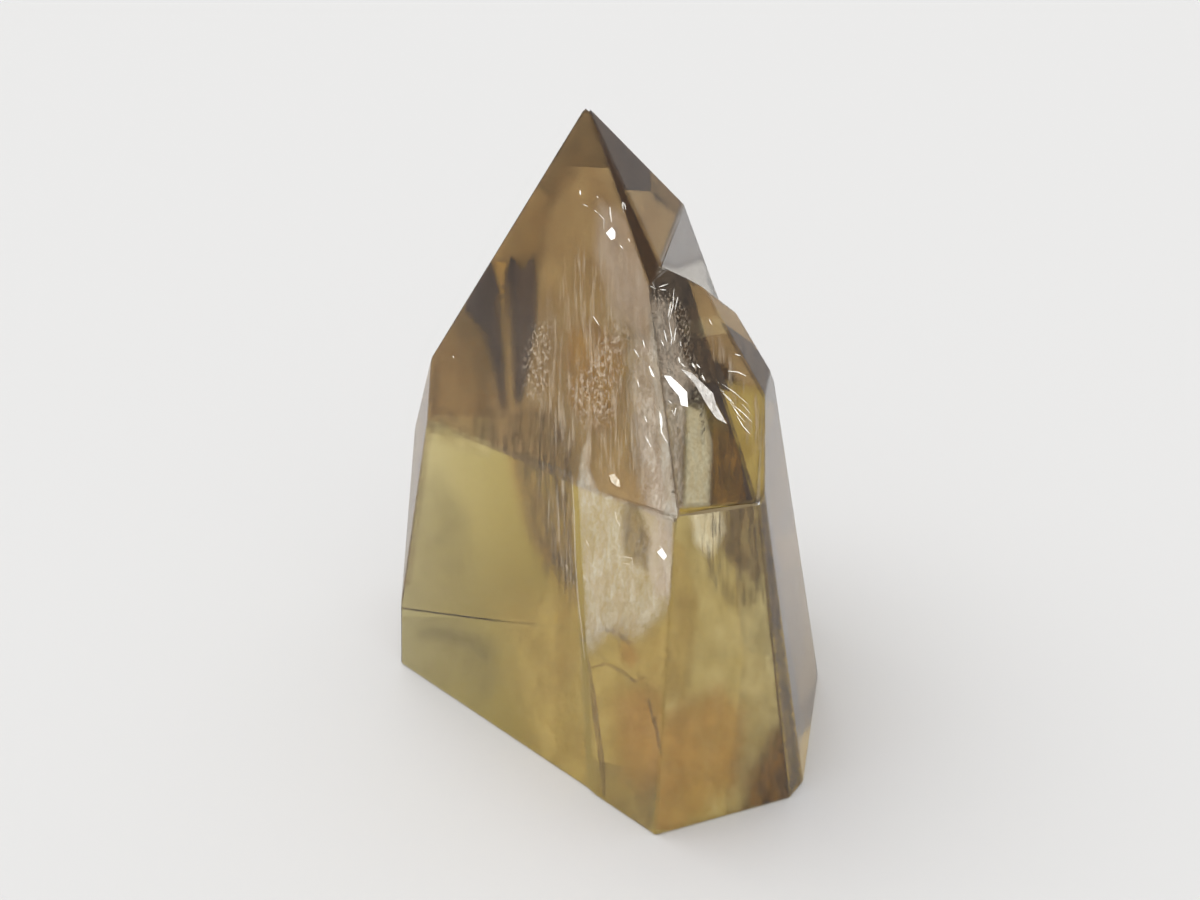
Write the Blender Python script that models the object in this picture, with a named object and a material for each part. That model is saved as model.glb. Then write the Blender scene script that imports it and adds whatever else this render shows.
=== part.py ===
"""Citrine crystal point: a stubby six-sided quartz prism with a leaning pointed crown, and a smaller
crystal grown onto its right front. The two are one piece of quartz, ground flat underneath so that it
stands upright. Metres, +Z up. The front of the stone faces -Y."""
import math
from collections import namedtuple

import bmesh
import bpy
from mathutils import Vector

MM = 0.001
OBJECT_NAME = "citrine_crystal_point"
STONE_NAME = "crystal_point"

# Every face is a flat plane. azimuth is the way it looks, in degrees around +Z from +X; lean is how far it
# tips back from upright, in degrees. A side face is placed by its reach, the distance out from the main
# crystal's axis at floor level, and a crown face by its crest, the height where it meets that axis.
Side = namedtuple("Side", "azimuth lean reach")
Crown = namedtuple("Crown", "azimuth lean crest")

TIP_HEIGHT = 64.7  # mm, where the six crown faces of the main crystal meet

# Faces that both crystals share at the front, where they grew side by side.
SHARED_FACES = {
    "front_left": Side(-131.7, 4.6, 13.6),
    "front": Side(-70.2, 3.9, 24.8),
    "crown_left": Crown(-133.9, 19.2, TIP_HEIGHT),
    "crown_front_sliver": Crown(-72.5, 45.3, TIP_HEIGHT),
    "crown_front": Crown(-64.9, 32.8, 71.55),
}

MAIN_FACES = {
    "right": Side(-12.2, 11.5, 19.2),
    "back_right": Side(55.9, 5.0, 20.8),
    "back": Side(96.8, 2.3, 16.8),
    "left": Side(165.1, 2.6, 19.9),
    "left_shoulder": Side(-169.0, 9.5, 20.8),
    "crown_right": Crown(-12.6, 37.9, TIP_HEIGHT),
    "crown_back_right": Crown(63.8, 28.8, TIP_HEIGHT),
    "crown_back": Crown(95.0, 21.0, TIP_HEIGHT),
    "crown_back_left": Crown(135.8, 24.3, TIP_HEIGHT),
}

SMALL_FACES = {
    "right": Side(-11.7, 9.1, 24.5),
    "corner": Side(-36.2, 7.2, 27.4),
    "back_right": Side(46.1, 12.6, 16.2),
    "crown_right": Crown(-12.4, 33.5, 69.5),
    "crown_corner": Crown(-47.6, 32.8, 72.5),
    "crown_ridge_outer": Crown(20.0, 26.5, 68.3),
    "crown_ridge": Crown(63.6, 42.2, 48.0),
}
SMALL_ROOT_DEPTH = 3.0  # mm that the small crystal reaches into the main one

# A shallow growth step runs down the front left face: left of it the face lies a little deeper.
STEP_DEPTH = 0.2
STEP_SLOPE = 10.0  # degrees between the step's narrow slope and the face
STEP_ALONG_TOP = 8.55  # mm right of the face's middle line, at STEP_TOP_HEIGHT
STEP_ALONG_FOOT = 13.0
STEP_TOP_HEIGHT = 35.0

EDGE_ROUNDING = 0.22  # mm, worn and polished edges
EDGE_SEGMENTS = 2
SHORTEST_ROUNDED = 1.0  # mm, edges shorter than this stay sharp
SHALLOWEST_ROUNDED = 9.5  # degrees, shallower edges stay sharp
CORNER_MERGE = 0.08  # mm, corners closer than this are one
FLAT_ENOUGH = 0.5  # degrees, neighbours flatter than this are one face
ROUGH_SIZE = 150.0  # mm, the block that each crystal is cut from
SHARED_SIZE = 300.0  # mm, the block that the shared faces are cut from, which takes in both crystals
# How far the blocks reach below the ground before it cuts them off, in mm. They differ, so that no two
# undersides coincide.
MAIN_BELOW_GROUND = 10.0
SMALL_BELOW_GROUND = 15.0
CUTTER_BELOW_GROUND = 20.0

QUARTZ_COLOUR = (0.60, 0.40, 0.15, 1.0)
QUARTZ_IOR = 1.544
POLISH_ROUGHNESS = 0.04


def clear_scene():
    for old in list(bpy.data.objects):
        bpy.data.objects.remove(old, do_unlink=True)


def new_collection(name):
    group = bpy.data.collections.new(name)
    bpy.context.scene.collection.children.link(group)
    return group


def plane_of(face):
    """Outward normal and one point of a face, in mm."""
    azimuth, lean = math.radians(face.azimuth), math.radians(face.lean)
    normal = Vector((math.cos(azimuth) * math.cos(lean), math.sin(azimuth) * math.cos(lean), math.sin(lean)))
    if isinstance(face, Side):
        return normal, Vector((math.cos(azimuth), math.sin(azimuth), 0)) * face.reach
    return normal, Vector((0, 0, face.crest))


def cut_block(name, planes, group, below_ground, size=ROUGH_SIZE):
    """A block cut by outward planes, which reaches `below_ground` mm under the ground, as a new object."""
    mesh = bmesh.new()
    bmesh.ops.create_cube(mesh, size=size)
    bmesh.ops.translate(mesh, verts=mesh.verts, vec=(0, 0, size / 2 - below_ground))
    for normal, point in planes:
        parts = mesh.verts[:] + mesh.edges[:] + mesh.faces[:]
        cut = bmesh.ops.bisect_plane(mesh, geom=parts, plane_co=point, plane_no=normal, clear_outer=True)
        rim = [edge for edge in cut["geom_cut"] if isinstance(edge, bmesh.types.BMEdge)]
        bmesh.ops.edgeloop_fill(mesh, edges=rim)
    bmesh.ops.recalc_face_normals(mesh, faces=mesh.faces)
    bmesh.ops.scale(mesh, verts=mesh.verts, vec=(MM, MM, MM))
    data = bpy.data.meshes.new(name)
    mesh.to_mesh(data)
    mesh.free()
    block = bpy.data.objects.new(name, data)
    group.objects.link(block)
    return block


def mark_as_cutter(block):
    block.hide_render = True
    block.display_type = "WIRE"


def combine(stone, operation, other):
    boolean = stone.modifiers.new(other.name, "BOOLEAN")
    boolean.operation = operation
    boolean.object = other
    boolean.solver = "EXACT"


def small_crystal_planes():
    """The small crystal's faces, and the hidden end by which it is rooted in the main one."""
    normal, point = plane_of(MAIN_FACES["right"])
    root = (-normal, point - normal * SMALL_ROOT_DEPTH)
    return [plane_of(face) for face in SMALL_FACES.values()] + [root]


def make_growth_step(group):
    """A wedge of waste outside the front left face, ending in a narrow slope along the step's line."""
    normal, point = plane_of(SHARED_FACES["front_left"])
    along = Vector((0, 0, 1)).cross(normal).normalized()
    uphill = normal.cross(along)
    foot = point + along * STEP_ALONG_FOOT
    top = point + along * STEP_ALONG_TOP + uphill * (STEP_TOP_HEIGHT / uphill.z)
    line = (top - foot).normalized()
    slope = math.radians(STEP_SLOPE)
    riser = line.cross(normal) * math.sin(slope) - normal * math.cos(slope)
    planes = [(-normal, point - normal * STEP_DEPTH), (riser, foot)]
    return cut_block("growth_step_waste", planes, group, CUTTER_BELOW_GROUND)


def bake_modifiers(stone):
    """Replace the stone's mesh by the result of its Booleans."""
    view = bpy.context.evaluated_depsgraph_get()
    joined = bpy.data.meshes.new_from_object(stone.evaluated_get(view))
    stone.modifiers.clear()
    stone.data = joined


def round_edges(stone):
    """Merge flat neighbours, then round the edges that handling wears."""
    mesh = bmesh.new()
    mesh.from_mesh(stone.data)
    bmesh.ops.remove_doubles(mesh, verts=mesh.verts, dist=CORNER_MERGE * MM)
    bmesh.ops.dissolve_limit(mesh, angle_limit=math.radians(FLAT_ENOUGH), verts=mesh.verts, edges=mesh.edges)
    worn = []
    for edge in mesh.edges:
        stands_out = edge.calc_face_angle_signed() > math.radians(SHALLOWEST_ROUNDED)
        if stands_out and edge.calc_length() > SHORTEST_ROUNDED * MM:
            worn.append(edge)
    bmesh.ops.bevel(mesh, geom=worn, offset=EDGE_ROUNDING * MM, offset_type="OFFSET", affect="EDGES",
                    segments=EDGE_SEGMENTS, profile=0.5, clamp_overlap=False)
    mesh.to_mesh(stone.data)
    mesh.free()


def centre_on_floor(stone):
    """Put the origin at the bottom centre of the stone's bounding box."""
    xs = [vertex.co.x for vertex in stone.data.vertices]
    ys = [vertex.co.y for vertex in stone.data.vertices]
    zs = [vertex.co.z for vertex in stone.data.vertices]
    shift = Vector((-(min(xs) + max(xs)) / 2, -(min(ys) + max(ys)) / 2, -min(zs)))
    for vertex in stone.data.vertices:
        vertex.co += shift


def quartz_material():
    material = bpy.data.materials.new("smoky_citrine_quartz")
    material.use_nodes = True
    shader = material.node_tree.nodes["Principled BSDF"]
    shader.inputs["Base Color"].default_value = QUARTZ_COLOUR
    shader.inputs["Roughness"].default_value = POLISH_ROUGHNESS
    shader.inputs["Metallic"].default_value = 0.0
    shader.inputs["IOR"].default_value = QUARTZ_IOR
    shader.inputs["Transmission Weight"].default_value = 1.0
    return material


def build():
    clear_scene()
    parts = new_collection(OBJECT_NAME)
    cutters = new_collection("cutters")
    main_planes = [plane_of(face) for face in MAIN_FACES.values()]
    stone = cut_block(STONE_NAME, main_planes, parts, MAIN_BELOW_GROUND)
    small = cut_block("small_crystal", small_crystal_planes(), cutters, SMALL_BELOW_GROUND)
    ground = (Vector((0, 0, -1)), Vector((0, 0, 0)))
    shared_planes = [plane_of(face) for face in SHARED_FACES.values()] + [ground]
    shared = cut_block("shared_faces", shared_planes, cutters, CUTTER_BELOW_GROUND, SHARED_SIZE)
    step = make_growth_step(cutters)
    for block in (small, shared, step):
        mark_as_cutter(block)
    combine(stone, "UNION", small)
    combine(stone, "INTERSECT", shared)
    combine(stone, "DIFFERENCE", step)
    bake_modifiers(stone)
    round_edges(stone)
    centre_on_floor(stone)
    stone.data.materials.clear()
    stone.data.materials.append(quartz_material())


build()
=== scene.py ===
"""Citrine crystal point on pale paper, in soft studio light.

The crystal itself is the CAD node. What lies inside it, its veils, healed cracks, smoky clouds and glints,
is made here as thin meshes. Each is laid out as the camera sees it through one face of the crystal: an
outline in the pixels of a 1200 x 900 picture, and a depth in mm below that face.
"""
import math

import bpy
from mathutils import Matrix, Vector, noise
from mathutils.bvhtree import BVHTree
from mathutils.geometry import convex_hull_2d, delaunay_2d_cdt


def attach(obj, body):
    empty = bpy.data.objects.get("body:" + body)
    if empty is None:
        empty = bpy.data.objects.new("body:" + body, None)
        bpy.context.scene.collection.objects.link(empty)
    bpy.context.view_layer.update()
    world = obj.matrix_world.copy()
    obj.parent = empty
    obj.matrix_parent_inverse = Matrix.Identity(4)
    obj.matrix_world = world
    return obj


MM = 0.001
QUARTZ_IOR = 1.544

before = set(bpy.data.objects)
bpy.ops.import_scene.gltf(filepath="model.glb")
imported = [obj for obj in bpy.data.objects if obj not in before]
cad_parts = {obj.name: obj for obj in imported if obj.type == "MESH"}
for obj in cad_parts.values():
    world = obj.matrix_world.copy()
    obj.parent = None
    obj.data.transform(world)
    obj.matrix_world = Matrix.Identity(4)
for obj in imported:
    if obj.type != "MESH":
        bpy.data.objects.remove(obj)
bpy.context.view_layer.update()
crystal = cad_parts["crystal_point"]
scene = bpy.context.scene

# ---------------------------------------------------------------- camera

PICTURE_CENTRE = (600.0, 450.0)  # pixels
FOCAL_PIXELS = 1600.0
SENSOR_WIDTH = 36.0  # mm
CLIP_START, CLIP_END = 0.001, 20.0  # m
PITCH = math.radians(35.0)
CAMERA_AT = Vector((-0.934, -126.096, 118.904)) * MM
FORWARD = Vector((0, math.cos(PITCH), -math.sin(PITCH)))
RIGHT = Vector((1, 0, 0))
UP = RIGHT.cross(FORWARD)


def make_camera():
    data = bpy.data.cameras.new("camera")
    data.sensor_width = SENSOR_WIDTH
    data.lens = FOCAL_PIXELS / (2 * PICTURE_CENTRE[0]) * data.sensor_width
    data.clip_start, data.clip_end = CLIP_START, CLIP_END
    camera = bpy.data.objects.new("camera", data)
    camera.location = CAMERA_AT
    camera.rotation_euler = (math.pi / 2 - PITCH, 0, 0)
    scene.collection.objects.link(camera)
    scene.camera = camera


def sight_line(x, y):
    """The way that the camera looks at a pixel."""
    across = (x - PICTURE_CENTRE[0]) / FOCAL_PIXELS
    upward = (PICTURE_CENTRE[1] - y) / FOCAL_PIXELS
    return (FORWARD + RIGHT * across + UP * upward).normalized()


# ---------------------------------------------------------------- places inside the crystal

SAME_WAY = math.cos(math.radians(1.6))  # two parts of one face look the same way to within 1.6 degrees
SAME_PLANE = 0.15  # mm, and lie in one plane to within this
SAME_CORNER = 1.0  # pixels, corners of an outline closer than this are one
LEAST_CLEARANCE = 0.03  # mm between a film and the surface
TUCK_TRIES = 4
TUCK_MARGIN = 1.02  # of the clearance asked for

SURFACE = BVHTree.FromPolygons([v.co for v in crystal.data.vertices],
                               [tuple(p.vertices) for p in crystal.data.polygons])


def pixel_of(point):
    """Where a point shows in the picture."""
    away = point - CAMERA_AT
    scale = FOCAL_PIXELS / away.dot(FORWARD)
    return Vector((PICTURE_CENTRE[0] + away.dot(RIGHT) * scale, PICTURE_CENTRE[1] - away.dot(UP) * scale))


def face_at(x, y):
    """Point, outward normal and outline in pixels of the crystal face that shows at a pixel."""
    point, normal, _, _ = SURFACE.ray_cast(CAMERA_AT, sight_line(x, y))
    corners = []
    for polygon in crystal.data.polygons:
        parallel = polygon.normal.dot(normal) > SAME_WAY
        if parallel and abs((polygon.center - point).dot(normal)) < SAME_PLANE * MM:
            corners += [pixel_of(crystal.data.vertices[i].co) for i in polygon.vertices]
    hull = [corners[i] for i in convex_hull_2d(corners)]
    return point, normal, [b for a, b in zip(hull[-1:] + hull, hull) if (a - b).length > SAME_CORNER]


def clipped(outline, rim, beyond=0.0):
    """The part of an outline that lies inside a convex rim, or up to `beyond` pixels outside it."""
    middle = sum(rim, Vector((0, 0))) / len(rim)
    for a, b in zip(rim, rim[1:] + rim[:1]):
        across = Vector((a.y - b.y, b.x - a.x))
        if across.dot(middle - a) < 0:
            across = -across
        a = a - across.normalized() * beyond
        kept = []
        for p, q in zip(outline, outline[1:] + outline[:1]):
            inside_p, inside_q = across.dot(p - a), across.dot(q - a)
            if inside_p >= 0:
                kept.append(p)
            if inside_p * inside_q < 0:
                kept.append(p.lerp(q, inside_p / (inside_p - inside_q)))
        outline = kept
    return outline


def below_face(face, x, y, depth):
    """The point that shows at a pixel through a face, `depth` mm along the bent sight line."""
    point, normal, _ = face
    ray = sight_line(x, y)
    enters = CAMERA_AT + ray * ((point - CAMERA_AT).dot(normal) / ray.dot(normal))
    facing = -ray.dot(normal)
    bend = 1 / QUARTZ_IOR
    bent = ray * bend + normal * (bend * facing - math.sqrt(1 - bend * bend * (1 - facing * facing)))
    return enters + bent * depth * MM


def is_inside(point, clearance=LEAST_CLEARANCE):
    """Whether a point lies more than `clearance` mm under the surface."""
    near, normal, _, distance = SURFACE.find_nearest(point)
    return (point - near).dot(normal) < 0 and distance > clearance * MM


def tucked_in(point, clearance):
    """The point itself, or one just under the surface if it isn't `clearance` mm inside."""
    for _ in range(TUCK_TRIES):
        if is_inside(point, clearance):
            break
        near, normal, _, _ = SURFACE.find_nearest(point)
        point = near - normal * clearance * TUCK_MARGIN * MM
    return point


# ---------------------------------------------------------------- materials

GRAIN_DETAIL, GRAIN_ROUGHNESS = 6.0, 0.6
SPARSE_DETAIL, PLAIN_DETAIL, FINE_DETAIL = 2.0, 3.0, 8.0
SEED_SHIFT = (1.0, 0.7, 1.3)  # how far a seed moves the noise along X, Y and Z

MATT_ROUGHNESS = 0.62  # of a film that doesn't gleam
GLEAM_SMOOTHS = 0.47  # what a full gleam takes off that
FILM_SPECULAR = 0.3
DOT_SIZE, DOT_SHARPNESS = 0.2, (0.42, 0.6)  # speckles: a share of the film's grain, and the noise they span
TINT_SIZE, TINT_SHARPNESS = 0.6, (0.35, 0.65)  # the mottling of its two colours, given likewise
DOT_SEED, TINT_SEED, CRINKLE_SEED = 5, 9, 3
CRINKLED = (0.5, 0.95)  # films that gleam this much are crinkled too; the smooth glints gleam more
CRINKLE_SIZE, CRINKLE_STRENGTH, CRINKLE_HEIGHT = 0.5, 0.16, 0.1  # mm, a share, and mm

POLISH_SIZE, POLISH_RANGE = 2.5, (0.04, 0.11)  # mm, and the least and greatest roughness
WAVE_SIZE, WAVE_STRENGTH, WAVE_HEIGHT = 5.0, 0.12, 0.2  # mm, a share, and mm
WAVE_SEED = 3.0
SMOKE_COLOUR, SMOKE_DENSITY = (0.951, 0.9275, 0.81, 1), 400.0
NOISE_MIDDLE = (0.3, 0.7)  # the part of the noise's range that it mostly stays in


def new_material(name):
    material = bpy.data.materials.new(name)
    material.use_nodes = True
    return material, material.node_tree.nodes, material.node_tree.links


def set_inputs(node, **values):
    for name, value in values.items():
        node.inputs[name.replace("_", " ")].default_value = value


def grain(nodes, links, place, size, stretch=1.0, detail=GRAIN_DETAIL, seed=0.0):
    """Noise at `place`, in mm, with features of about `size` mm, `stretch` times as long along Y."""
    mapping = nodes.new("ShaderNodeMapping")
    mapping.inputs["Scale"].default_value = (1 / size, 1 / (size * stretch), 1 / size)
    mapping.inputs["Location"].default_value = [seed * shift for shift in SEED_SHIFT]
    texture = nodes.new("ShaderNodeTexNoise")
    set_inputs(texture, Scale=1.0, Detail=detail, Roughness=GRAIN_ROUGHNESS)
    links.new(place, mapping.inputs["Vector"])
    links.new(mapping.outputs["Vector"], texture.inputs["Vector"])
    return texture.outputs["Fac"]


def attribute(nodes, name, output):
    node = nodes.new("ShaderNodeAttribute")
    node.attribute_name = name
    return node.outputs[output]


def remap(nodes, links, value, low, high, to_low=0.0, to_high=1.0):
    node = nodes.new("ShaderNodeMapRange")
    node.interpolation_type = "SMOOTHSTEP"
    for socket, number in zip(("From Min", "From Max", "To Min", "To Max"), (low, high, to_low, to_high)):
        node.inputs[socket].default_value = number
    links.new(value, node.inputs["Value"])
    return node.outputs["Result"]


def multiply(nodes, links, a, b):
    node = nodes.new("ShaderNodeMath")
    node.operation = "MULTIPLY"
    links.new(a, node.inputs[0])
    links.new(b, node.inputs[1])
    return node.outputs["Value"]


def mix_colours(nodes, links, factor, a, b):
    node = nodes.new("ShaderNodeMix")
    node.data_type = "RGBA"
    node.inputs["A"].default_value = (*a, 1)
    node.inputs["B"].default_value = (*b, 1)
    links.new(factor, node.inputs["Factor"])
    return node.outputs["Result"]


def inclusion_material(name, colours, cover, threshold, size, stretch, speckle, sheen, seed):
    """A broken film inside the crystal, looking as KINDS describes it."""
    material, nodes, links = new_material(name)
    shader = nodes["Principled BSDF"]
    roughness = MATT_ROUGHNESS - GLEAM_SMOOTHS * sheen
    set_inputs(shader, Metallic=sheen, Roughness=roughness, Specular_IOR_Level=FILM_SPECULAR)
    place = attribute(nodes, "grain", "Vector")
    half_stretch = 1 + (stretch - 1) / 2
    cloud = grain(nodes, links, place, size, stretch, seed=seed)
    density = remap(nodes, links, cloud, *threshold, *cover)
    if speckle:
        dots = grain(nodes, links, place, size * DOT_SIZE, half_stretch, SPARSE_DETAIL, seed + DOT_SEED)
        dots = remap(nodes, links, dots, *DOT_SHARPNESS, 1 - speckle, 1.0)
        density = multiply(nodes, links, density, dots)
    links.new(multiply(nodes, links, density, attribute(nodes, "fade", "Fac")), shader.inputs["Alpha"])
    tint = grain(nodes, links, place, size * TINT_SIZE, stretch, seed=seed + TINT_SEED)
    colour = mix_colours(nodes, links, remap(nodes, links, tint, *TINT_SHARPNESS), *colours)
    links.new(colour, shader.inputs["Base Color"])
    if CRINKLED[0] <= sheen <= CRINKLED[1]:
        crinkle = nodes.new("ShaderNodeBump")
        set_inputs(crinkle, Strength=CRINKLE_STRENGTH, Distance=CRINKLE_HEIGHT * MM)
        folds = grain(nodes, links, place, CRINKLE_SIZE, half_stretch, PLAIN_DETAIL, seed + CRINKLE_SEED)
        links.new(folds, crinkle.inputs["Height"])
        links.new(crinkle.outputs["Normal"], shader.inputs["Normal"])
    return material


def quartz_material():
    """Clear quartz that is smoky through its depth, with a polish that is a little uneven."""
    material, nodes, links = new_material("smoky_citrine")
    shader = nodes["Principled BSDF"]
    set_inputs(shader, Base_Color=(1, 1, 1, 1), IOR=QUARTZ_IOR, Transmission_Weight=1.0)
    place = nodes.new("ShaderNodeVectorMath")
    place.operation = "SCALE"
    place.inputs["Scale"].default_value = 1 / MM
    links.new(nodes.new("ShaderNodeTexCoord").outputs["Object"], place.inputs["Vector"])
    place = place.outputs["Vector"]
    polish = grain(nodes, links, place, POLISH_SIZE, detail=FINE_DETAIL)
    links.new(remap(nodes, links, polish, *NOISE_MIDDLE, *POLISH_RANGE), shader.inputs["Roughness"])
    wave = nodes.new("ShaderNodeBump")
    set_inputs(wave, Strength=WAVE_STRENGTH, Distance=WAVE_HEIGHT * MM)
    swell = grain(nodes, links, place, WAVE_SIZE, detail=SPARSE_DETAIL, seed=WAVE_SEED)
    links.new(swell, wave.inputs["Height"])
    links.new(wave.outputs["Normal"], shader.inputs["Normal"])
    absorption = nodes.new("ShaderNodeVolumeAbsorption")
    set_inputs(absorption, Color=SMOKE_COLOUR, Density=SMOKE_DENSITY)
    links.new(absorption.outputs["Volume"], nodes["Material Output"].inputs["Volume"])
    return material


# ---------------------------------------------------------------- inclusion meshes

MM_PER_PIXEL = 0.097  # at the crystal
RIPPLE = 0.15  # a film's ripple, as a share of its depth
RIPPLE_ACROSS, RIPPLE_DOWN = 0.03, 0.02  # how fast it comes and goes, per pixel
RIM_DEPTH = (0.2, 0.08)  # a film's depth at a face's rim: at most so many mm and a share of its own depth
RIM_WIDTH = 30.0  # pixels from the rim at which it has its own depth
NEAR_RIM = 6.0  # pixels from the rim, within which a film's side counts as cut off by it
BEYOND_RIM = 2.5  # pixels that a film reaches under the worn edge around its face
FADE_BEYOND = 0.7  # how much of its cover it has lost there
TUCK_CLEARANCE = 1.5  # least clearances that it keeps there, and one more for each mm of depth
FILM_SPACING, SHARD_SPACING, MARK_SPACING = 5.0, 3.0, 6.0  # pixels between the points of each mesh
CRISP = 1.0  # pixels, the softness of shards and marks, whose sides are all hard
SLACK = 0.01  # pixels, points closer than this are one when an outline is filled
MARK_WIDTH = 0.7  # of a small mark's listed width
GLEAM_DEPTH = 1.0  # mm, where a glint's lean is worked out
SWELLS_AT = 0.45  # how far along a straight mark it is widest
TIP_SHARE, MIDDLE_SHARE = 0.2, 0.5  # how far a mark reaches to each side, at its tips and between


def smoothstep(value):
    """An even ease from 0 to 1."""
    value = min(max(value, 0.0), 1.0)
    return value * value * (3 - 2 * value)


def inside_outline(p, outline):
    """Whether a point is inside a convex outline."""
    turns = [(b - a).cross(p - a) for a, b in zip(outline, outline[1:] + outline[:1])]
    return all(turn >= 0 for turn in turns) or all(turn <= 0 for turn in turns)


def distance_to_segment(p, a, b):
    along = b - a
    share = min(max((p - a).dot(along) / along.length_squared, 0.0), 1.0)
    return (p - a - along * share).length


def triangulate(outline, spacing):
    """Points and triangles that fill an outline, about `spacing` pixels apart."""
    if not outline:
        return [], []
    points = []
    for a, b in zip(outline, outline[1:] + outline[:1]):
        steps = max(1, round((b - a).length / spacing))
        points += [a.lerp(b, i / steps) for i in range(steps)]
    rim = list(range(len(points)))
    xs, ys = [p.x for p in outline], [p.y for p in outline]
    for row in range(int((max(ys) - min(ys)) / spacing) + 1):
        for column in range(int((max(xs) - min(xs)) / spacing) + 1):
            shift = spacing / 2 if row % 2 else 0
            points.append(Vector((min(xs) + column * spacing + shift, min(ys) + row * spacing)))
    result = delaunay_2d_cdt(points, [], [rim], 1, SLACK)
    return result[0], result[2]


def add_piece(name, verts, faces, material, fades, places, normal=None):
    """One piece of film. `normal` is the way it gleams, if that isn't straight out of its face."""
    if not faces:
        raise ValueError(f"{name} lies outside its face")
    mesh = bpy.data.meshes.new(name)
    mesh.from_pydata(verts, [], faces)
    mesh.attributes.new("fade", "FLOAT", "POINT").data.foreach_set("value", fades)
    flat_places = [number for place in places for number in place]
    mesh.attributes.new("grain", "FLOAT_VECTOR", "POINT").data.foreach_set("vector", flat_places)
    mesh.materials.append(material)
    for polygon in mesh.polygons:
        polygon.use_smooth = True
    if normal:
        facing = sum((polygon.normal * polygon.area for polygon in mesh.polygons), Vector())
        toward = normal if facing.dot(normal) > 0 else -normal
        mesh.normals_split_custom_set_from_vertices([toward] * len(verts))
    piece = bpy.data.objects.new(name, mesh)
    scene.collection.objects.link(piece)
    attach(piece, "root")


def distance_to_sides(p, sides):
    return min((distance_to_segment(p, a, b) for a, b in sides), default=math.inf)


def film_mesh(through, outline, depth, soft, hard, spacing, seed):
    """Points, triangles, fades and grain places of a film seen through the face at pixel `through`.

    It is cut off at the face's rim, near which it lies less deep. Its cover fades out over `soft` pixels from
    its other sides, except from those in `hard`.
    """
    face = face_at(*through)
    rim = list(zip(face[2], face[2][1:] + face[2][:1]))
    corners = [Vector(p) for p in outline]
    rim_share = min(1.0, RIM_DEPTH[0] / depth + RIM_DEPTH[1])
    fading = []
    for i, side in enumerate(zip(corners, corners[1:] + corners[:1])):
        along_rim = all(not inside_outline(p, face[2]) or distance_to_sides(p, rim) < NEAR_RIM for p in side)
        if i not in hard and not along_rim:
            fading.append(side)
    points, triangles = triangulate(clipped(corners, face[2], BEYOND_RIM), spacing)
    verts, fades, places = [], [], []
    for p in points:
        wave = noise.noise(Vector((p.x * RIPPLE_ACROSS, p.y * RIPPLE_DOWN, 0))) * RIPPLE
        from_rim = distance_to_sides(p, rim)
        share = rim_share + (1 - rim_share) * smoothstep(from_rim / RIM_WIDTH)
        point = below_face(face, p.x, p.y, depth * (1 + wave) * share)
        verts.append(tucked_in(point, LEAST_CLEARANCE * (TUCK_CLEARANCE + depth)))
        outside = 0.0 if inside_outline(p, face[2]) else from_rim / BEYOND_RIM
        left_beyond = 1 - FADE_BEYOND * smoothstep(outside)
        fades.append(smoothstep(distance_to_sides(p, fading) / soft) * left_beyond)
        places.append((p.x * MM_PER_PIXEL, p.y * MM_PER_PIXEL, depth + seed))
    kept = [t for t in triangles if all(is_inside(verts[i]) for i in t)]
    used = sorted({i for t in kept for i in t})
    index = {old: new for new, old in enumerate(used)}
    return ([verts[i] for i in used], [[index[i] for i in t] for t in kept], [fades[i] for i in used],
            [places[i] for i in used])


def ribbon(line, width):
    """The outline of a mark that follows a line of pixels and narrows towards both ends."""
    points = [Vector(p) for p in line]
    if len(points) == 2:
        points.insert(1, points[0].lerp(points[1], SWELLS_AT))
    left, right = [], []
    for i, point in enumerate(points):
        way = (points[min(i + 1, len(points) - 1)] - points[max(i - 1, 0)]).normalized()
        share = TIP_SHARE if i in (0, len(points) - 1) else MIDDLE_SHARE
        side = Vector((-way.y, way.x)) * width * share
        left.append(point + side)
        right.append(point - side)
    return left + right[::-1]


def gleam_normal(through):
    """The normal that a glint behind a face needs to throw the ceiling's light to the camera, or None."""
    if through not in GLEAM_LEANS:
        return None
    face = face_at(*through)
    x, y = through
    across, down = GLEAM_LEANS[through]
    start = below_face(face, x, y, GLEAM_DEPTH)
    toward_right = below_face(face, x + 1, y, GLEAM_DEPTH + across) - start
    downward = below_face(face, x, y + 1, GLEAM_DEPTH + down) - start
    return toward_right.cross(downward).normalized()


def add_marks(name, through, lines, material, depth, seed):
    """One piece of many small marks: each is a line of pixels and its width."""
    verts, faces, fades, places = [], [], [], []
    for line, width in lines:
        outline = ribbon(line, width * MARK_WIDTH)
        more = film_mesh(through, outline, depth, CRISP, range(len(outline)), MARK_SPACING, seed)
        faces += [[i + len(verts) for i in face] for face in more[1]]
        verts += more[0]
        fades += more[2]
        places += more[3]
    add_piece(name, verts, faces, material, fades, places, gleam_normal(through))


# ---------------------------------------------------------------- stage

CEILING_TOWARD = Vector((-0.35, 0.1, 0.93))
CEILING_SPREAD = (0.70, 0.97)  # cosines between the ceiling's middle and its rim
WALL_LIGHT = 0.58
CEILING_LIGHT = 2.0
BACKDROP_LIGHT = 0.82
FLOOR_REACH = 3.0  # m, from its middle to its sides
FLOOR_GAP = 0.1  # mm under the stone
PAPER_COLOUR, PAPER_ROUGHNESS, PAPER_SPECULAR = (0.86, 0.855, 0.85, 1), 0.9, 0.2


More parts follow.
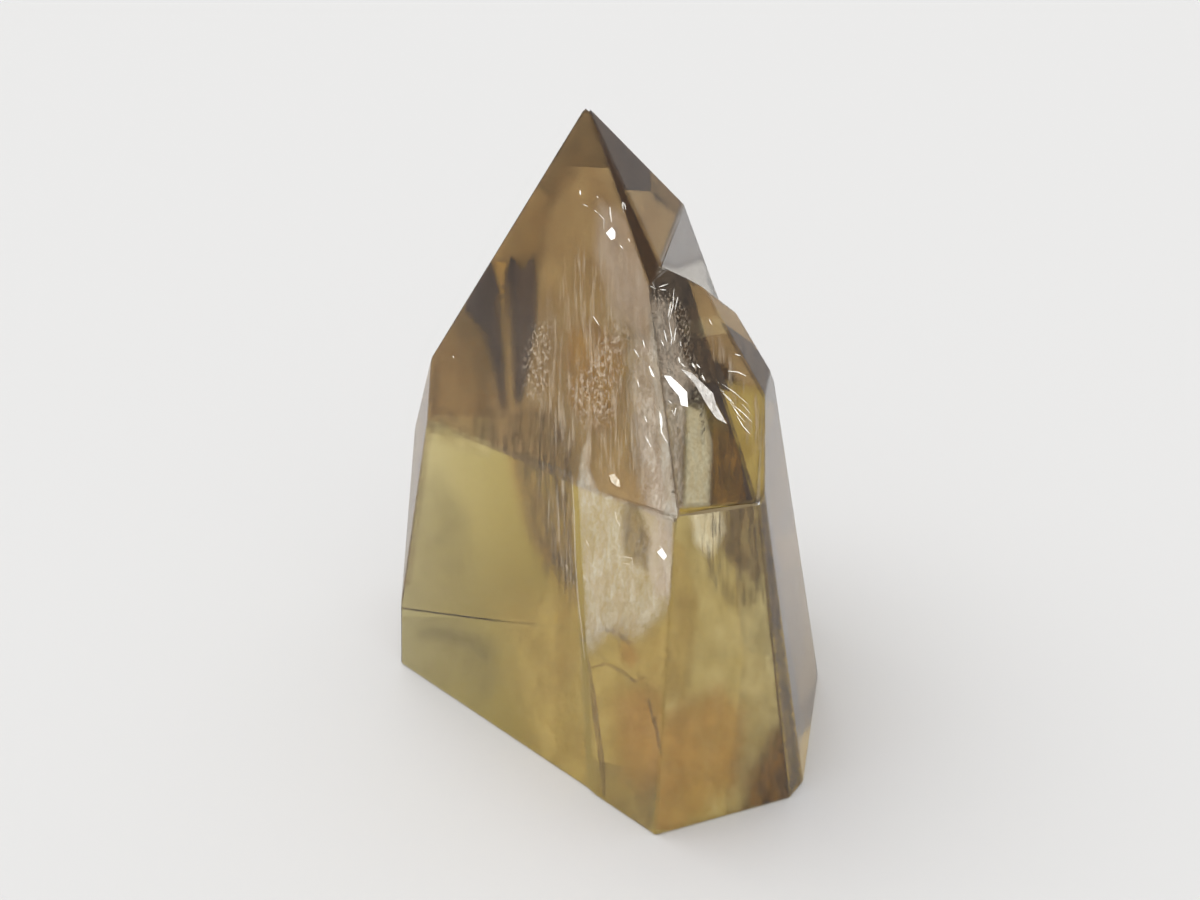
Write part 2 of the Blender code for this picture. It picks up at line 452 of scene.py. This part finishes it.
def make_floor():
    mesh = bpy.data.meshes.new("paper")
    corners = [(x * FLOOR_REACH, y * FLOOR_REACH, 0) for x, y in ((-1, -1), (1, -1), (1, 1), (-1, 1))]
    mesh.from_pydata(corners, [], [(0, 1, 2, 3)])
    floor = bpy.data.objects.new("paper", mesh)
    floor.location.z = -FLOOR_GAP * MM
    scene.collection.objects.link(floor)
    material, nodes, _ = new_material("white_paper")
    set_inputs(nodes["Principled BSDF"], Base_Color=PAPER_COLOUR, Roughness=PAPER_ROUGHNESS,
               Specular_IOR_Level=PAPER_SPECULAR)
    mesh.materials.append(material)


def make_world():
    """Dim walls, a bright soft ceiling that leans back and to the left, and a pale backdrop."""
    world = bpy.data.worlds.new("soft_room")
    world.use_nodes = True
    scene.world = world
    nodes, links = world.node_tree.nodes, world.node_tree.links
    place = nodes.new("ShaderNodeTexCoord")
    toward = nodes.new("ShaderNodeVectorMath")
    toward.operation = "DOT_PRODUCT"
    toward.inputs[1].default_value = CEILING_TOWARD.normalized()
    links.new(place.outputs["Generated"], toward.inputs[0])
    glow = remap(nodes, links, toward.outputs["Value"], *CEILING_SPREAD, WALL_LIGHT, CEILING_LIGHT)
    path = nodes.new("ShaderNodeLightPath")
    seen = nodes.new("ShaderNodeMix")
    links.new(path.outputs["Is Camera Ray"], seen.inputs["Factor"])
    links.new(glow, seen.inputs["A"])
    seen.inputs["B"].default_value = BACKDROP_LIGHT
    links.new(seen.outputs["Result"], nodes["Background"].inputs["Strength"])
    nodes["Background"].inputs["Color"].default_value = (1, 1, 1, 1)


# ---------------------------------------------------------------- kinds of film

HAZE = NOISE_MIDDLE
KIND_SEED_STEP = 1.9

# Each kind of film: two colours, cover at its thinnest and thickest, the part of the noise's range over which
# it thickens, grain in mm, stretch, speckle and how much it gleams, as a gap in the quartz does.
KINDS = {
    "tan": (((0.92, 0.64, 0.28), (0.78, 0.51, 0.21)), (0.66, 0.86), HAZE, 5.0, 1.6, 0.0, 0.3),
    "thin_tan": (((0.94, 0.61, 0.22), (0.78, 0.48, 0.16)), (0.34, 0.55), HAZE, 4.0, 1.6, 0.0, 0.3),
    "rosy": (((1.0, 0.84, 0.68), (0.90, 0.70, 0.52)), (0.35, 0.62), HAZE, 2.4, 4.0, 0.1, 0.9),
    "umber": (((0.56, 0.35, 0.13), (0.42, 0.26, 0.09)), (0.55, 0.80), HAZE, 4.0, 1.6, 0.0, 0.1),
    "amber": (((0.98, 0.60, 0.15), (0.84, 0.48, 0.11)), (0.48, 0.88), HAZE, 2.6, 2.2, 0.0, 0.3),
    "golden": (((1.0, 0.75, 0.22), (0.80, 0.56, 0.14)), (0.62, 0.88), HAZE, 3.2, 1.8, 0.12, 0.5),
    "orange": (((1.0, 0.61, 0.14), (0.82, 0.47, 0.09)), (0.50, 0.85), HAZE, 2.6, 1.6, 0.1, 0.45),
    "olive": (((1.0, 0.83, 0.36), (0.82, 0.65, 0.24)), (0.62, 0.88), HAZE, 3.0, 1.8, 0.1, 0.55),
    "thin_olive": (((0.50, 0.40, 0.16), (0.38, 0.29, 0.10)), (0.20, 0.50), HAZE, 3.2, 1.6, 0.1, 0.0),
    "violet": (((0.10, 0.062, 0.045), (0.19, 0.12, 0.08)), (0.70, 0.92), HAZE, 3.0, 4.0, 0.0, 0.0),
    "smoke": (((0.10, 0.06, 0.03), (0.20, 0.13, 0.07)), (0.72, 0.96), HAZE, 1.4, 3.0, 0.15, 0.0),
    "bark": (((0.10, 0.055, 0.022), (0.28, 0.17, 0.08)), (0.72, 0.96), HAZE, 0.9, 2.5, 0.15, 0.0),
    "rust": (((0.66, 0.34, 0.06), (0.30, 0.15, 0.03)), (0.62, 0.95), HAZE, 0.8, 3.0, 0.15, 0.1),
    "brown": (((0.38, 0.24, 0.08), (0.78, 0.54, 0.22)), (0.35, 0.82), HAZE, 0.7, 3.5, 0.2, 0.1),
    "threads": (((0.17, 0.10, 0.042), (0.34, 0.21, 0.085)), (0.0, 0.6), (0.45, 0.66), 0.27, 13.0, 0.2, 0.0),
    "milky": (((1.0, 0.93, 0.78), (0.86, 0.73, 0.54)), (0.50, 0.88), HAZE, 1.3, 3.0, 0.3, 0.85),
    "veil": (((0.95, 0.87, 0.69), (0.80, 0.66, 0.45)), (0.55, 0.90), HAZE, 1.3, 3.0, 0.3, 0.85),
    "lilac": (((1.0, 0.87, 0.70), (0.84, 0.68, 0.52)), (0.40, 0.93), HAZE, 1.1, 3.5, 0.4, 0.9),
    "cream": (((1.0, 0.90, 0.60), (0.92, 0.77, 0.46)), (0.82, 0.98), HAZE, 0.9, 3.0, 0.2, 0.9),
    "wisps": (((1.0, 0.86, 0.66), (0.84, 0.66, 0.46)), (0.0, 0.58), (0.46, 0.68), 0.30, 13.0, 0.3, 0.9),
    "specks": (((1.0, 0.86, 0.68), (0.84, 0.66, 0.48)), (0.0, 0.78), (0.51, 0.60), 0.2, 2.2, 0.4, 1.0),
    "crust": (((0.07, 0.035, 0.01), (0.74, 0.66, 0.46)), (0.2, 0.95), (0.44, 0.56), 0.35, 1.5, 0.0, 0.0),
    "shard": (((1.0, 0.99, 0.97), (0.95, 0.93, 0.90)), (0.97, 1.0), HAZE, 0.5, 1.0, 0.0, 1.0),
    "pane": (((0.86, 0.83, 0.79), (0.62, 0.58, 0.54)), (0.60, 0.92), HAZE, 0.5, 2.0, 0.0, 0.9),
    "glint": (((1.0, 0.99, 0.96), (0.90, 0.86, 0.78)), (0.35, 1.0), HAZE, 0.5, 1.0, 0.0, 1.0),
    # painted shade: the dark ribbon that darkens a bright line along a thin fold in the surface, under the
    # small crown
    "painted_shade": (((0.37, 0.28, 0.15), (0.28, 0.21, 0.11)), (0.95, 1.0), HAZE, 2.0, 1.0, 0.0, 0.0),
    # painted shade: the grey film that darkens the top of the main crystal's right side
    "grey": (((0.46, 0.42, 0.40), (0.58, 0.53, 0.50)), (0.45, 0.75), HAZE, 3.0, 2.0, 0.0, 0.2),
    "pale": (((1.0, 0.96, 0.88), (0.90, 0.84, 0.74)), (0.60, 0.88), HAZE, 1.6, 3.0, 0.0, 0.9),
}


def make_materials():
    kinds = {}
    for number, (kind, look) in enumerate(KINDS.items()):
        kinds[kind] = inclusion_material(kind, *look, seed=number * KIND_SEED_STEP)
    return kinds


# ---------------------------------------------------------------- films

FILM_SEED_STEP, MARK_SEED_STEP = 1.7, 2.3

# A pixel of each face that films show through. On the main crystal, T1 and T3 are the crown's left and right
# faces, SLIVER is the narrow one between them, E is the right side and L the left shoulder. A and B are the
# front left face, left and right of the growth step, and STEP is the slope of that step. On the small
# crystal, S1, F2 and S2 are the front, corner and right faces of its crown, C is its front and CD its corner.
T1, T3, E, S1, F2, S2 = (540, 330), (660, 225), (698, 255), (710, 450), (735, 400), (745, 340)
L, A, B, C, CD = (412, 480), (480, 560), (620, 560), (720, 620), (785, 670)
SLIVER, STEP = (628, 215), (580, 560)

# How a glint leans behind each face, in mm deeper per pixel across and down, to throw the ceiling's light
# to the camera.
GLEAM_LEANS = {T1: (0.020, -0.031), SLIVER: (-0.020, -0.011), S1: (-0.021, -0.024), F2: (-0.039, -0.018),
               A: (0.027, -0.054), B: (0.027, -0.048)}

# Each film: name, kind, a pixel of the face that it shows through, depth in mm, softness in pixels, outline
# in pixels, and which of its sides are hard. The face's own rim cuts the outline off and counts as hard.
FILMS = [
    # main crown, left face
    ("crown_base", "umber", T1, 1.50, 5, [(380, 90), (700, 90), (700, 560), (380, 560)], ()),
    ("crown_tan", "tan", T1, 1.30, 26, [(563, 166), (607, 168), (720, 172), (720, 560), (560, 560),
         (474, 440), (492, 330), (530, 250), (533, 205)], (0, 1)),
    ("crown_left_gold", "thin_tan", T1, 1.20, 12, [(520, 170), (556, 190), (540, 256), (510, 268),
         (470, 268), (430, 268)], ()),
    ("crown_left_tan", "thin_tan", T1, 1.15, 18, [(380, 330), (450, 318), (478, 340), (490, 400),
         (480, 500), (380, 460)], ()),
    ("crown_amber", "amber", T1, 1.10, 24, [(560, 318), (600, 322), (628, 335), (634, 385), (622, 440),
         (585, 440), (558, 400)], ()),
    ("crown_spike_left", "violet", T1, 0.95, 9, [(464, 314), (474, 266), (491, 263), (500, 300), (506, 350),
         (510, 410), (500, 425), (490, 370), (480, 335)], (1, 2)),
    ("crown_spike_right", "violet", T1, 1.00, 7, [(506, 285), (511, 256), (516, 263), (522, 271),
         (528, 262), (536, 251), (540, 285), (538, 330), (529, 380), (521, 412),
         (511, 400)], (0, 1, 2, 3, 4)),
    ("crown_streak", "amber", T1, 0.85, 3, [(492, 262), (508, 262), (505, 285), (506, 330), (515, 405),
         (512, 405), (502, 335), (499, 290)], (0,)),
    ("crown_pale", "rosy", T1, 0.171, 18, [(592, 190), (625, 205), (650, 262), (662, 330), (640, 350),
         (606, 320), (588, 250)], ()),
    ("crown_wisps", "wisps", T1, 0.144, 22, [(560, 255), (600, 225), (640, 250), (655, 330), (660, 500),
         (600, 490), (545, 450), (522, 400), (532, 320)], ()),
    ("crown_specks_left", "specks", T1, 0.135, 9, [(528, 322), (552, 318), (556, 350), (552, 385),
         (545, 405), (522, 402), (518, 372)], ()),
    ("crown_specks_mid", "specks", T1, 0.139, 22, [(556, 385), (590, 340), (612, 290), (640, 330),
         (622, 430), (575, 440)], ()),
    ("crown_foot_mottle", "brown", T1, 0.61, 10, [(498, 416), (535, 408), (560, 420), (580, 450),
         (590, 500), (530, 480), (500, 460)], ()),
    ("crown_foot_threads", "threads", T1, 0.50, 14, [(400, 408), (560, 400), (580, 440), (585, 500),
         (400, 440)], ()),
    ("crown_white_column", "milky", T1, 0.148, 5, [(580, 452), (588, 430), (593, 434), (590, 465),
         (610, 520), (572, 510)], ()),
    ("crown_lilac", "lilac", T1, 0.162, 15, [(628, 335), (648, 325), (640, 295), (720, 295), (720, 560),
         (650, 560), (634, 490), (628, 450), (624, 392)], ()),
    ("crown_olive_patch", "brown", T1, 0.75, 9, [(626, 412), (645, 405), (652, 440), (640, 478),
         (622, 470)], ()),
    ("crown_ribbon", "milky", T1, 0.130, 4, [(649, 312), (655, 316), (662, 390), (668, 440), (680, 540),
         (664, 540), (656, 430), (651, 380)], ()),
    # main crown, right faces
    ("right_violet", "violet", T3, 0.60, 3, [(560, 90), (650, 100), (649, 165), (650, 191), (625, 190),
         (612, 162)], (2, 3)),
    ("right_tan", "tan", T3, 0.70, 5, [(600, 189), (650, 191), (656, 196), (700, 226), (690, 290),
         (640, 280)], (0, 1)),
    ("right_umber", "umber", T3, 0.65, 3, [(649, 150), (720, 190), (690, 232), (656, 196),
         (651, 191)], (3, 4)),
    # painted shade: a grey film that darkens the top of the main crystal's right side
    ("side_top_painted_shade", "grey", E, 0.45, 6, [(640, 180), (740, 180), (703, 256), (690, 262), (678, 267),
         (640, 262)], ()),
    ("side_pale", "pale", E, 0.126, 6, [(640, 262), (678, 266), (700, 258), (730, 300), (740, 340),
         (640, 340)], ()),
    # small crystal's crown, front face
    ("band_base", "bark", S1, 1.10, 4, [(640, 250), (800, 250), (800, 540), (640, 540)], ()),
    ("notch_smoke", "smoke", S1, 0.45, 6, [(640, 260), (700, 260), (702, 300), (690, 312), (672, 304),
         (640, 302)], ()),
    ("fracture_veil", "lilac", S1, 0.153, 7, [(640, 292), (672, 300), (680, 330), (686, 356), (700, 380),
         (690, 402), (640, 400)], ()),
    ("fracture_specks", "specks", S1, 0.116, 6, [(650, 286), (680, 292), (692, 320), (694, 352), (712, 380),
         (698, 392), (664, 380), (650, 340)], ()),
    ("band_brown", "bark", S1, 0.60, 5, [(678, 292), (690, 280), (720, 362), (722, 388), (700, 384),
         (690, 356), (683, 325)], ()),
    ("band_violet", "violet", S1, 0.65, 4, [(703, 384), (740, 372), (780, 510), (748, 512), (738, 440),
         (716, 402)], (4,)),
    ("band_low_brown", "rust", S1, 0.75, 8, [(704, 440), (716, 418), (734, 436), (750, 486), (760, 520),
         (704, 520), (702, 480)], ()),
    ("band_low_threads", "threads", S1, 0.40, 7, [(698, 430), (722, 422), (744, 450), (752, 520),
         (700, 520)], ()),
    ("lilac_column", "lilac", S1, 0.130, 4, [(640, 388), (688, 396), (686, 440), (683, 530),
         (640, 530)], ()),
    ("cream_column", "cream", S1, 0.158, 5, [(684, 402), (706, 408), (714, 445), (710, 530), (680, 530),
         (684, 450)], ()),
    ("crust_upper", "crust", S1, 0.12, 3, [(690, 384), (704, 392), (707, 412), (705, 450), (701, 450),
         (699, 412), (687, 406)], ()),
    # small crystal's crown, corner and right faces
    ("corner_tan", "tan", F2, 0.65, 7, [(680, 270), (720, 270), (800, 400), (745, 396), (722, 366),
         (690, 350)], ()),
    ("corner_golden", "golden", F2, 0.48, 6, [(690, 376), (740, 380), (800, 390), (800, 540),
         (740, 540)], ()),
    ("corner_wisps", "wisps", F2, 0.121, 8, [(704, 312), (724, 340), (756, 392), (770, 450), (752, 460),
         (728, 400), (710, 350)], ()),
    ("side_tan", "tan", S2, 0.65, 6, [(690, 280), (760, 280), (790, 370), (750, 345), (728, 330)], ()),
    ("side_umber", "bark", S2, 0.60, 6, [(722, 322), (745, 338), (800, 376), (790, 420), (740, 380)], ()),
    # front left face, left of the growth line
    ("left_top", "olive", A, 0.35, 9, [(420, 405), (500, 436), (492, 462), (452, 452), (424, 440)], ()),
    ("left_haze", "amber", A, 0.90, 16, [(498, 440), (620, 440), (620, 620), (566, 612), (540, 570),
         (518, 530), (508, 490)], ()),
    ("left_fibres", "brown", A, 0.75, 16, [(508, 452), (620, 452), (620, 560), (570, 590), (545, 570),
         (522, 540), (514, 500)], ()),
    ("left_threads", "threads", A, 0.55, 14, [(505, 440), (620, 440), (620, 640), (566, 612), (540, 580),
         (520, 540), (512, 490)], ()),
    ("left_wisps", "wisps", A, 0.116, 12, [(530, 455), (620, 455), (620, 600), (570, 600), (548, 560),
         (538, 510)], ()),
    ("left_golden", "golden", A, 0.72, 50, [(470, 590), (560, 560), (660, 560), (660, 860), (560, 860),
         (500, 740)], ()),
    ("left_cloud", "thin_olive", A, 1.00, 30, [(380, 480), (440, 452), (480, 500), (490, 560), (470, 618),
         (380, 618)], ()),
    ("left_low_cloud", "thin_olive", A, 1.05, 20, [(380, 616), (480, 618), (508, 636), (510, 680),
         (480, 730), (380, 700)], (0,)),
    ("left_low_smoke", "thin_olive", A, 0.70, 10, [(408, 622), (450, 624), (478, 632), (497, 655),
         (486, 668), (462, 650), (440, 645), (412, 648)], ()),
    ("left_edge", "umber", L, 0.40, 4, [(380, 340), (440, 340), (440, 540), (380, 620)], ()),
    # front left face, right of the growth line
    ("veil", "veil", B, 0.135, 22, [(560, 440), (700, 440), (700, 600), (660, 628), (640, 650), (612, 642),
         (596, 660), (570, 660)], (7,)),
    ("veil_brown", "brown", B, 0.11, 8, [(618, 506), (640, 500), (654, 540), (650, 575), (632, 568),
         (620, 552)], ()),
    ("veil_lilac", "lilac", B, 0.121, 9, [(640, 480), (700, 480), (700, 600), (652, 600), (640, 550)], ()),
    ("low_golden", "golden", B, 0.57, 24, [(560, 620), (612, 606), (640, 610), (700, 600), (700, 860),
         (560, 860)], ()),
    ("low_orange", "orange", B, 0.45, 30, [(604, 690), (645, 670), (690, 700), (690, 780), (640, 810),
         (606, 780)], ()),
    ("orange_spot", "orange", B, 0.30, 9, [(618, 640), (632, 638), (642, 660), (632, 674), (616, 662)], ()),
    ("low_foot", "thin_olive", B, 0.55, 14, [(590, 760), (700, 780), (700, 860), (590, 860)], ()),
    # small crystal, front face
    ("front_olive", "olive", C, 0.72, 5, [(640, 480), (820, 480), (820, 860), (640, 860)], ()),
    ("front_cream", "cream", C, 0.148, 10, [(684, 490), (722, 490), (730, 530), (712, 566),
         (690, 545)], ()),
    ("front_fibres", "brown", C, 0.65, 10, [(704, 490), (790, 490), (770, 570), (758, 590), (735, 570),
         (712, 545)], ()),
    ("front_threads", "threads", C, 0.12, 14, [(700, 490), (790, 490), (775, 600), (740, 620),
         (690, 580)], ()),
    ("front_dark", "bark", C, 1.1, 13, [(740, 520), (800, 490), (800, 745), (783, 748), (757, 660),
         (744, 600)], ()),
    ("front_orange", "orange", C, 0.51, 30, [(660, 700), (728, 672), (756, 710), (752, 790), (700, 830),
         (640, 830)], ()),
    ("front_golden", "golden", C, 0.57, 16, [(640, 520), (690, 540), (704, 600), (692, 700),
         (640, 720)], ()),
    ("front_foot_brown", "rust", C, 0.50, 18, [(738, 780), (768, 726), (820, 700), (820, 850),
         (738, 850)], ()),
    ("edge_strip", "rust", CD, 0.40, 3, [(740, 470), (830, 470), (830, 830), (740, 830)], ()),
    ("front_foot_dark", "bark", C, 0.6, 16, [(754, 775), (776, 742), (820, 720), (820, 850),
         (754, 850)], ()),
    ("edge_smoke", "bark", CD, 0.30, 30, [(740, 470), (830, 470), (830, 830), (740, 830)], ()),
]


def make_films(kinds):
    for number, (name, kind, through, depth, soft, outline, hard) in enumerate(FILMS):
        seed = number * FILM_SEED_STEP
        verts, faces, fades, places = film_mesh(through, outline, depth, soft, hard, FILM_SPACING, seed)
        add_piece(name, verts, faces, kinds[kind], fades, places)


# ---------------------------------------------------------------- shards, marks and the painted edge shade

# Each shard: name, kind, a pixel of the face, depth in mm and outline in pixels.
SHARDS = [
    ("shard_white", "shard", S1, 0.095, [(664, 375.5), (670, 376), (677, 382), (687, 392), (688, 407),
         (681, 405), (679, 396), (670, 385.5)]),
    ("shard_grey", "pane", S1, 0.10, [(681, 369), (692, 373), (713, 393), (716, 404), (727, 424),
         (716, 418), (707, 405), (695, 384)]),
    ("shard_tip", "shard", T1, 0.095, [(606, 233), (609, 230), (612, 227), (615.5, 232), (615, 238.5),
         (611, 240)]),
    ("shard_foot", "milky", T1, 0.095, [(609, 475), (614, 474), (619, 480), (620, 487), (616, 486),
         (611, 482)]),
    ("shard_star", "shard", B, 0.095, [(657, 552), (662, 548), (667, 556), (664, 560), (660, 556)]),
    ("shard_dark", "smoke", F2, 0.10, [(716, 357), (714, 370), (719, 387), (730, 392), (724, 376)]),
]

# Small marks: name, kind, a pixel of the face, depth, and the lines with their widths in pixels.
MARKS = [
    ("glints_tip", "glint", T1, 0.09, [
        ([(580, 190), (580.5, 195)], 2.2), ([(583, 204), (588, 206.5)], 1.3),
        ([(594, 210), (598, 213)], 1.1), ([(599, 214), (604, 219), (604, 229)], 1.1),
        ([(610, 207), (610.5, 214), (611.5, 222)], 2.6), ([(628, 238), (630, 242)], 1.8),
        ([(620, 245), (623, 249)], 1.3), ([(597, 196), (598, 198)], 1.4)]),
    ("glints_sliver", "glint", SLIVER, 0.09, [
        ([(623, 202), (622.5, 208), (624, 215)], 3.4), ([(624.5, 203), (626, 210)], 1.4)]),
    ("glints_crown", "glint", T1, 0.09, [
        ([(634, 349), (639, 357)], 1.8), ([(643, 340), (644.5, 347)], 1.5), ([(637, 379), (639, 387)], 1.8),
        ([(649, 366), (652, 374), (654, 377)], 3.6), ([(644.5, 416), (646.5, 422)], 1.6),
        ([(645, 436), (650.5, 447)], 1.8), ([(659, 411), (661, 432), (665, 440), (671, 449)], 1.6),
        ([(660, 413), (661.5, 428)], 3.6), ([(453, 356), (454, 358)], 1.4),
        ([(593, 316), (599, 325)], 1.3)]),
    ("glints_notch", "glint", S1, 0.09, [
        ([(650.5, 286), (656, 289)], 1.5), ([(652, 280), (654.5, 288)], 1.1),
        ([(659, 287), (668, 284)], 1.3), ([(660, 289.5), (666, 290)], 1.3),
        ([(674, 289), (673, 305), (669.5, 320)], 1.4), ([(671, 302), (668, 318)], 2.4),
        ([(678, 296), (675, 310)], 1.2), ([(669, 322), (672, 338), (671, 345)], 1.5),
        ([(664, 330), (667, 342)], 1.8), ([(676, 328), (674, 341)], 1.8), ([(661, 340), (664, 346)], 1.5),
        ([(680, 341), (681, 346)], 1.5), ([(678.5, 357), (680, 363)], 2.2), ([(681, 363), (685, 367)], 1.8),
        ([(692, 363), (695, 368)], 2.8), ([(696.5, 364), (700, 368)], 2.2), ([(702, 375), (705, 381)], 2.4),
        ([(664, 406), (666, 413)], 2.6), ([(672, 410), (674, 415), (676, 408)], 3.2),
        ([(668, 400), (672, 404)], 1.3)]),
    ("glints_corner", "glint", F2, 0.09, [
        ([(713, 379), (719, 383)], 2.0), ([(717, 388), (724, 392)], 1.6),
        ([(723, 393), (728, 398), (734, 404)], 2.8), ([(733, 405), (742, 412), (752, 422)], 1.3),
        ([(730, 402), (738, 414), (745, 422)], 1.5), ([(737, 416), (743, 426), (750, 434)], 1.6),
        ([(722, 384), (734, 392), (748, 404)], 1.0), ([(709, 319), (712, 325)], 1.5),
        ([(735, 354), (741, 356)], 1.4), ([(746, 352), (748, 355)], 1.4), ([(742, 404), (750, 413)], 1.0),
        ([(728, 371), (738, 372), (746, 376)], 1.6)]),
    ("glints_veil", "milky", B, 0.09, [
        ([(615, 512), (617, 520), (620, 526)], 2.4),
        ([(617, 556), (625, 557), (632, 558), (633, 568)], 1.7), ([(622, 563), (630, 564.5)], 1.4),
        ([(659, 545), (663, 549)], 1.4), ([(661, 590), (664, 597)], 1.6), ([(655, 570), (659, 574)], 1.3),
        ([(586, 540), (589, 546)], 2.6), ([(583, 575), (587, 580)], 2.0)]),
    ("growth_line", "milky", STEP, 0.09, [
        ([(572, 476), (574, 510), (575.5, 563), (578, 599), (582, 632), (584.5, 660)], 1.7)]),
    ("growth_shade", "brown", B, 0.3, [
        ([(586, 650), (592, 690), (598, 735), (603, 772), (604, 796)], 8.0)]),
    ("arcs", "brown", B, 0.3, [
        ([(594, 634), (600, 628), (612, 631), (622, 638), (630, 644)], 7.0),
        ([(590, 668), (606, 664), (622, 672), (634, 682), (644, 678)], 4.0),
        ([(648, 700), (656, 728), (662, 760)], 6.0)]),
    ("left_flakes", "wisps", A, 0.10, [
        ([(546, 497), (550, 508)], 5.0), ([(552, 522), (557, 545), (562, 566)], 8.0),
        ([(565, 564), (570, 572), (574, 584)], 5.0)]),
]


# Painted shade: a dark ribbon along a line of pixels on the small crystal's front face, just under its crown.
# It lies on the stone and darkens the bright line that a thin fold in its surface shows there.
PAINTED_EDGE_SHADE = [(680, 515.5), (700, 512.5), (720, 509.5), (740, 506.5), (758, 503.8)]
PAINTED_EDGE_SHADE_WIDTH = 3.6  # pixels
PAINTED_EDGE_SHADE_HEIGHT = 0.03  # mm above the surface


def make_painted_edge_shade(material):
    face = face_at(*C)
    points, triangles = triangulate(ribbon(PAINTED_EDGE_SHADE, PAINTED_EDGE_SHADE_WIDTH), SHARD_SPACING)
    verts = [below_face(face, p.x, p.y, -PAINTED_EDGE_SHADE_HEIGHT) for p in points]
    places = [(p.x * MM_PER_PIXEL, p.y * MM_PER_PIXEL, 0.0) for p in points]
    add_piece("painted_edge_shade", verts, triangles, material, [1.0] * len(points), places)


def make_shards(kinds):
    for name, kind, through, depth, outline in SHARDS:
        all_sides = range(len(outline))
        verts, faces, fades, places = film_mesh(through, outline, depth, CRISP, all_sides, SHARD_SPACING, 0.0)
        add_piece(name, verts, faces, kinds[kind], fades, places, gleam_normal(through))
    for number, (name, kind, through, depth, lines) in enumerate(MARKS):
        add_marks(name, through, lines, kinds[kind], depth, number * MARK_SEED_STEP)


# ---------------------------------------------------------------- the picture

make_camera()
make_floor()
make_world()
crystal.data.materials.clear()
crystal.data.materials.append(quartz_material())
inclusion_kinds = make_materials()
make_films(inclusion_kinds)
make_shards(inclusion_kinds)
make_painted_edge_shade(inclusion_kinds["painted_shade"])

scene.view_settings.view_transform = "Standard"
# Guides of colour and normal would give faint films hard outlines that they don't have.
scene.cycles.denoising_input_passes = "RGB"
